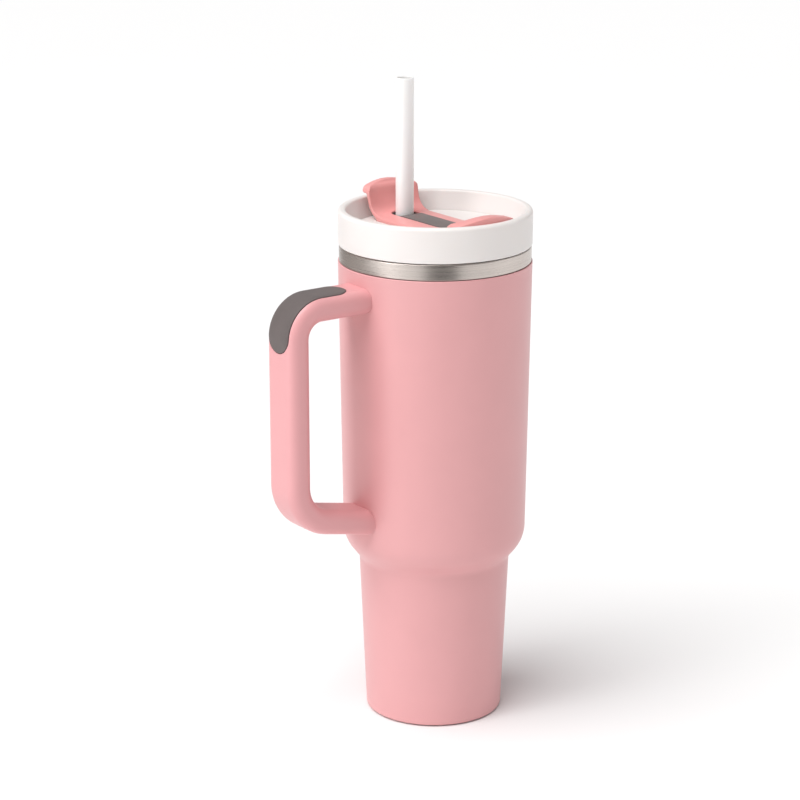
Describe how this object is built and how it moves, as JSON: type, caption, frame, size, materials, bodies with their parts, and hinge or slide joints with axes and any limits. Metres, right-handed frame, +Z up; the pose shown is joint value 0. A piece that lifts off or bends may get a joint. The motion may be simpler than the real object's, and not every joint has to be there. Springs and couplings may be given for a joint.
{
  "type": "insulated tumbler with lid and handle",
  "caption": "Tall double-wall steel tumbler with a narrow cup-holder base, side handle, screw lid, turning straw cover and straw.",
  "frame": {"origin": "middle of the underside of the base pad, on the cup's axis, on the surface the tumbler stands on", "axes": "+Z up along the cup and straw, -X towards the handle, +Y towards the finger tab and the straw"},
  "size_m": [0.1451, 0.0982, 0.329],
  "materials": {
    "pink_paint": "satin powder coat",
    "brushed_steel": "brushed round the cup",
    "plain_steel": "plain",
    "base_rubber": "matt",
    "handle_plastic": "satin",
    "grip_rubber": "matt",
    "plug_rubber": "matt",
    "lid_plastic": "fine satin",
    "skirt_plastic": "satin",
    "silicone": "matt",
    "cover_plastic": "satin",
    "insert_plastic": "matt",
    "grommet_rubber": "matt",
    "straw_plastic": "clear, slightly frosted"
  },
  "bodies": {
    "cup": {"outer_shell": "pink_paint", "inner_liner": "brushed_steel", "bottom_plate": "plain_steel", "vacuum_seal_cap": "plain_steel", "getter_pellet": "plain_steel", "base_pad": "base_rubber", "handle": "handle_plastic", "comfort_grip": "grip_rubber", "upper_bracket": "plain_steel", "upper_screw": "plain_steel", "upper_screw_plug": "plug_rubber", "lower_bracket": "plain_steel", "lower_screw": "plain_steel", "lower_screw_plug": "plug_rubber"},
    "gasket": {"lid_gasket": "silicone"},
    "lid": {"lid_body": "lid_plastic", "lid_skirt": "skirt_plastic", "cover_seal_ring": "silicone", "pivot_washer": "plain_steel"},
    "cover": {"cover_disc": "lid_plastic", "rotating_cover": "cover_plastic", "cover_insert": "insert_plastic", "straw_grommet": "grommet_rubber", "pivot_pin": "plain_steel"},
    "straw": {"straw": "straw_plastic"}
  },
  "joints": [
    {"name": "lid_lift", "type": "slide", "parent": "cup", "child": "gasket", "axis": [0, 0, 1], "range_m": [0, 0.0075]},
    {"name": "lid_turn", "type": "hinge", "parent": "gasket", "child": "lid", "pos_m": [0, 0, 0.255], "axis": [0, 0, 1], "range_deg": [0, 450]},
    {"name": "cover_turn", "type": "hinge", "parent": "lid", "child": "cover", "pos_m": [0, 0, 0.255], "axis": [0, 0, 1], "range_deg": [0, 60]},
    {"name": "straw_slide", "type": "slide", "parent": "cover", "child": "straw", "axis": [0, 0, 1], "range_m": [0, 0.26]}
  ],
  "couplings": [
    {"joint": "lid_lift", "follows": "lid_turn", "m_per_rad": 0.00095493}
  ]
}
